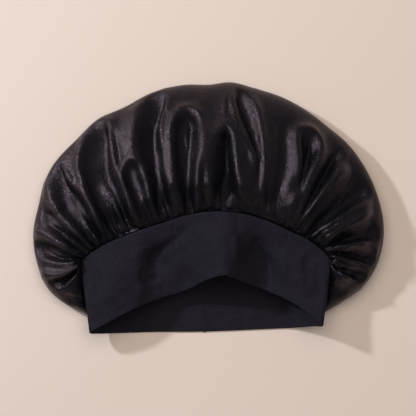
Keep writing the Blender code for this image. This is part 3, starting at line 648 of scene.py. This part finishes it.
def crownBack(u, t, small):
    _, chord = fanPlan(u, np.ones(len(u)), True)
    roll = np.clip(crownSet["roll"] / chord, 0, crownSet["rollMost"])
    turn = math.pi / 2 * np.maximum(0, 2 * t - 1)  # half of the rows lie flat, and half roll up to the outline
    b = np.minimum(1, 2 * t) * (1 - roll) + roll * np.sin(turn)
    b += (wayOut(t) - b) * (1 - ease(np.minimum(u, 1 - u) / crownSet["sideMatch"]))  # meets the front's rows there
    plan, _ = fanPlan(u, b, True)
    floor = crownSet["wall"] / 2
    rim = fanAt(u)[:, 4] * crownSet["rim"]
    root = crownRoot(u, True, crownSet["stand"])[:, 2]
    height = floor + (rim - floor) * (1 - np.cos(turn)) + (root - floor) * (1 - ease(b / crownSet["seamDrop"]))
    height = sideBlend(height, u, b)
    push = clothPush(backValleys, small, u, b, chord)
    tilt = math.pi - turn
    points = np.column_stack([plan + outward(u) * (np.sin(tilt) * push)[:, None], height + np.cos(tilt) * push])
    points[:, 2] = np.maximum(points[:, 2], floor)
    return clearOfBand(points, b), b


def crownSheet(columns, rows, smallFront, smallBack):  # points row by row: seam, front, outline, back, seam
    u = crowdEnds(np.linspace(0, 1, columns + 1), crownSet["sideCrowding"])
    t = np.linspace(0, 1, rows + 1)
    uu, tt = np.tile(u, rows + 1), np.repeat(t, columns + 1)
    front, frontWay = crownFront(uu, tt, smallFront)
    back, backWay = crownBack(uu, tt, smallBack)
    front, back = front.reshape(rows + 1, columns + 1, 3), back.reshape(rows + 1, columns + 1, 3)
    front[0], back[0] = crownRoot(u, False, 0), crownRoot(u, True, 0)
    front[0, :, 2] -= crownSet["rootDrop"]  # the puckers rise out of the seam
    back[:, 0], back[:, -1] = front[:, 0], front[:, -1]
    points = np.concatenate([front, back[-2::-1]])
    way = np.concatenate([frontWay.reshape(rows + 1, -1), backWay.reshape(rows + 1, -1)[-2::-1]])
    normals = clothNormals(points)
    for end in (0, -1):  # the sides, where front and back meet in one edge
        both = normals[:, end] + normals[::-1, end]
        both[:, 2] *= crownSet["sideRise"]
        normals[:, end] = both / np.maximum(np.linalg.norm(both, axis=1), 1e-9)[:, None]
    return points, normals, way


def makeCrown():
    small = gathers(gatherSet["seed"]), gathers(gatherSet["seed"] + 1)
    everything = [puckers + others for puckers, others in small]
    points, normals, way = crownSheet(crownSet["columns"], crownSet["rows"], *everything)
    outer = clothGrid("satinCrown", points + normals * crownSet["wall"] / 2 + toFrame)
    sewEdges(outer)
    withoutPuckers = [others for puckers, others in small]
    points, normals, way = crownSheet(crownSet["innerColumns"], crownSet["innerRows"], *withoutPuckers)
    begins, ends = crownSet["slackWays"]  # between them the inner face stands a little further off
    under = crownSet["wall"] / 2 + crownSet["innerSlack"] * ease(way / begins) * (1 - ease(way / ends))
    inner = clothGrid("satinInside", points - normals * under[:, :, None] + toFrame)
    sewEdges(inner)
    joinWalls(outer, inner)
    return outer


crown = makeCrown()
print("crown made", len(crown.data.polygons))
band = makeBand()
print("band made", len(band.data.polygons))


# materials

def newMaterial(name):
    material = bpy.data.materials.new(name)
    material.use_nodes = True
    return material, material.node_tree


def addNode(tree, kind, settings=None, links=None):
    node = tree.nodes.new(kind)
    for name, value in (settings or {}).items():
        if isinstance(name, int) or name in node.inputs:
            node.inputs[name].default_value = value
        else:
            setattr(node, name, value)
    for name, source in (links or {}).items():
        tree.links.new(source, node.inputs[name])
    return node


# Charmeuse satin of fine polyester filament. The weave lets the threads float over one another, side by side, so
# light runs along them: a deep black with a soft gloss drawn out across the folds, and small bright specks in it
satinSet = {
    "color": "#090a0f", "specular": 0.54, "tint": "#ffdfe7", "alongThreads": 0.35,
    # threads are 0.1 mm apart, too fine to show: specks are drawn at 1.1 mm, and fleck is how far their gloss differs
    "speckle": 920, "speckleDepth": 0.56 * mm, "fleck": 0.25,
    "slub": 240, "slubDepth": 0.12 * mm,  # the cloth's small unevenness, about 4 mm
    "drift": 40, "driftLow": 0.3, "driftHigh": 0.7, "smoothest": 0.26, "roughest": 0.33,  # handling, patches of 25 mm
}


def makeSatin():
    material, tree = newMaterial("blackCharmeuse")
    shader = tree.nodes["Principled BSDF"]
    shader.inputs["Base Color"].default_value = toLinear(satinSet["color"])
    shader.inputs["Specular IOR Level"].default_value = satinSet["specular"]
    shader.inputs["Specular Tint"].default_value = toLinear(satinSet["tint"])
    shader.inputs["Anisotropic"].default_value = satinSet["alongThreads"]
    place = addNode(tree, "ShaderNodeTexCoord")
    slub = addNode(tree, "ShaderNodeTexNoise", {"Scale": satinSet["slub"], "Detail": 1.0},
                   {"Vector": place.outputs["Object"]})
    uneven = addNode(tree, "ShaderNodeBump", {"Distance": satinSet["slubDepth"]}, {"Height": slub.outputs["Fac"]})
    speckle = addNode(tree, "ShaderNodeTexNoise", {"Scale": satinSet["speckle"], "Detail": 2.0},
                      {"Vector": place.outputs["Object"]})
    bump = addNode(tree, "ShaderNodeBump", {"Distance": satinSet["speckleDepth"]},
                   {"Height": speckle.outputs["Fac"], "Normal": uneven.outputs["Normal"]})
    tree.links.new(bump.outputs["Normal"], shader.inputs["Normal"])
    drift = addNode(tree, "ShaderNodeTexNoise", {"Scale": satinSet["drift"], "Detail": 3.0},
                    {"Vector": place.outputs["Object"]})
    rough = addNode(tree, "ShaderNodeMapRange",
                    {"From Min": satinSet["driftLow"], "From Max": satinSet["driftHigh"],
                     "To Min": satinSet["smoothest"], "To Max": satinSet["roughest"]},
                    {"Value": drift.outputs["Fac"]})
    fleck = addNode(tree, "ShaderNodeMath",
                    {"operation": "MULTIPLY_ADD", 1: satinSet["fleck"], 2: -satinSet["fleck"] / 2},
                    {0: speckle.outputs["Fac"]})
    both = addNode(tree, "ShaderNodeMath", {"operation": "ADD"},
                   {0: rough.outputs["Result"], 1: fleck.outputs["Value"]})
    tree.links.new(both.outputs["Value"], shader.inputs["Roughness"])
    across = addNode(tree, "ShaderNodeTangent", {"direction_type": "UV_MAP", "uv_map": "UVMap"})
    tree.links.new(across.outputs["Tangent"], shader.inputs["Tangent"])
    return material


# Doubled interlock knit of cotton and elastane, brushed: small round loops scatter the light, so it is matte and
# even, with a fine grain, whose darker gaps between the loops are painted shade
knitSet = {
    # loopColor is the yarn's own colour, and the gap colour is painted shade, darker, in the gaps between the loops
    "loopColor": "#25222a", "shadedGapColor": "#1c1920", "roughness": 0.85, "specular": 0.12,
    "loops": 760, "loopDepth": 0.4 * mm,  # loops are 0.5 mm apart, too fine to show: the grain is drawn at 1.3 mm
    "gapLevel": 0.35, "loopLevel": 0.65,
    "waver": 48, "waverDepth": 4.5 * mm,  # the soft cloth is never quite flat, over about 20 mm
}


def makeKnit():
    material, tree = newMaterial("blackInterlock")
    shader = tree.nodes["Principled BSDF"]
    shader.inputs["Roughness"].default_value = knitSet["roughness"]
    shader.inputs["Specular IOR Level"].default_value = knitSet["specular"]
    place = addNode(tree, "ShaderNodeTexCoord")
    waver = addNode(tree, "ShaderNodeTexNoise", {"Scale": knitSet["waver"], "Detail": 1.5},
                    {"Vector": place.outputs["Object"]})
    soft = addNode(tree, "ShaderNodeBump", {"Distance": knitSet["waverDepth"]}, {"Height": waver.outputs["Fac"]})
    loops = addNode(tree, "ShaderNodeTexNoise", {"Scale": knitSet["loops"], "Detail": 2.0},
                    {"Vector": place.outputs["Object"]})
    bump = addNode(tree, "ShaderNodeBump", {"Distance": knitSet["loopDepth"]},
                   {"Height": loops.outputs["Fac"], "Normal": soft.outputs["Normal"]})
    tree.links.new(bump.outputs["Normal"], shader.inputs["Normal"])
    # painted shade: where the loop bump is low the colour goes towards the darker, shaded gap colour
    shade = addNode(tree, "ShaderNodeMapRange", {"From Min": knitSet["gapLevel"], "From Max": knitSet["loopLevel"]},
                    {"Value": loops.outputs["Fac"]})
    # of a Mix node for colours, sockets 0, 6 and 7 are Factor, A and B, and output 2 is Result
    color = addNode(tree, "ShaderNodeMix",
                    {"data_type": "RGBA", 6: toLinear(knitSet["shadedGapColor"]), 7: toLinear(knitSet["loopColor"])},
                    {0: shade.outputs["Result"]})
    tree.links.new(color.outputs[2], shader.inputs["Base Color"])
    return material


# Pale matte lacquer, as the bare surface that the bonnet lies on
floorSet = {"color": "#e6d4c7", "roughness": 0.9, "size": 6, "below": 0.2 * mm}


def makeFloor():
    material, tree = newMaterial("paleLacquer")
    shader = tree.nodes["Principled BSDF"]
    shader.inputs["Base Color"].default_value = toLinear(floorSet["color"])
    shader.inputs["Roughness"].default_value = floorSet["roughness"]
    clearSelection()
    bpy.ops.mesh.primitive_plane_add(size=floorSet["size"], location=(0, 0, -floorSet["below"]))
    floor = bpy.context.object
    floor.name = "table"
    floor.data.materials.append(material)


crown.data.materials.clear()
crown.data.materials.append(makeSatin())
band.data.materials.clear()
band.data.materials.append(makeKnit())
makeFloor()
print("materials made")

for piece, node, slot in ((crown, "crown", "satin"), (band, "band", "knit")):
    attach(piece, "root")
    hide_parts(node)


# camera and light

cameraSet = {"height": 2.6, "across": 416 * mm, "aim": (-0.3 * mm, -1.2 * mm), "sensor": 36}
lightSet = {
    "toKey": (-0.86, 0.5, 0.75), "keyDistance": 1.8, "keySize": 0.13, "keyPower": 18.5, "keyColor": "#ecf2ff",
    "toFill": (0.0, 0.28, 1.0), "fillDistance": 3.2, "fillSize": 3.0, "fillPower": 68.5, "fillColor": "#fff6ed",
    # the room's level, its ceiling's, between which heights it changes, and how much brighter the lamp's side is
    "roomColor": "#f0f6ff", "room": 0.16, "ceiling": 0.18, "wallsEnd": 0.55, "ceilingBegins": 0.88,
    "lampSide": (-0.45, 0.75, 0.0), "lean": 0.2,
}


def makeCamera():
    data = bpy.data.cameras.new("camera")
    data.sensor_width = cameraSet["sensor"]
    data.lens = data.sensor_width * cameraSet["height"] / cameraSet["across"]
    camera = bpy.data.objects.new("camera", data)
    bpy.context.scene.collection.objects.link(camera)
    camera.location = (*cameraSet["aim"], cameraSet["height"])
    bpy.context.scene.camera = camera


def makeLamp(name, toLamp, distance, size, power, color):
    clearSelection()
    bpy.ops.object.light_add(type="AREA")
    lamp = bpy.context.object
    lamp.name = name
    lamp.data.size, lamp.data.energy, lamp.data.color = size, power, toLinear(color)[:3]
    toLamp = Vector(toLamp).normalized()
    lamp.location = toLamp * distance
    lamp.rotation_euler = toLamp.to_track_quat("Z", "Y").to_euler()
    return lamp


def makeLight():  # a lamp from the upper left, a large soft one overhead that leaves no glint, and a dim room
    makeLamp("key", lightSet["toKey"], lightSet["keyDistance"], lightSet["keySize"], lightSet["keyPower"],
             lightSet["keyColor"])
    fill = makeLamp("fill", lightSet["toFill"], lightSet["fillDistance"], lightSet["fillSize"], lightSet["fillPower"],
                    lightSet["fillColor"])
    fill.visible_glossy = fill.visible_camera = False
    world = bpy.data.worlds.new("room")
    bpy.context.scene.world = world
    world.use_nodes = True
    tree = world.node_tree
    back = tree.nodes["Background"]
    back.inputs["Color"].default_value = toLinear(lightSet["roomColor"])
    way = addNode(tree, "ShaderNodeTexCoord")
    split = addNode(tree, "ShaderNodeSeparateXYZ", None, {"Vector": way.outputs["Generated"]})
    level = addNode(tree, "ShaderNodeMapRange",
                    {"From Min": lightSet["wallsEnd"], "From Max": lightSet["ceilingBegins"],
                     "To Min": lightSet["room"], "To Max": lightSet["ceiling"], "interpolation_type": "SMOOTHSTEP"},
                    {"Value": split.outputs["Z"]})
    side = addNode(tree, "ShaderNodeVectorMath",
                   {"operation": "DOT_PRODUCT", 1: Vector(lightSet["lampSide"]).normalized()},
                   {0: way.outputs["Generated"]})
    lean = addNode(tree, "ShaderNodeMath", {"operation": "MULTIPLY_ADD", 1: lightSet["lean"], 2: 1.0},
                   {0: side.outputs["Value"]})
    both = addNode(tree, "ShaderNodeMath", {"operation": "MULTIPLY"},
                   {0: level.outputs["Result"], 1: lean.outputs["Value"]})
    tree.links.new(both.outputs["Value"], back.inputs["Strength"])


makeCamera()
makeLight()
bpy.context.scene.view_settings.view_transform = "Standard"
print("camera and light made")
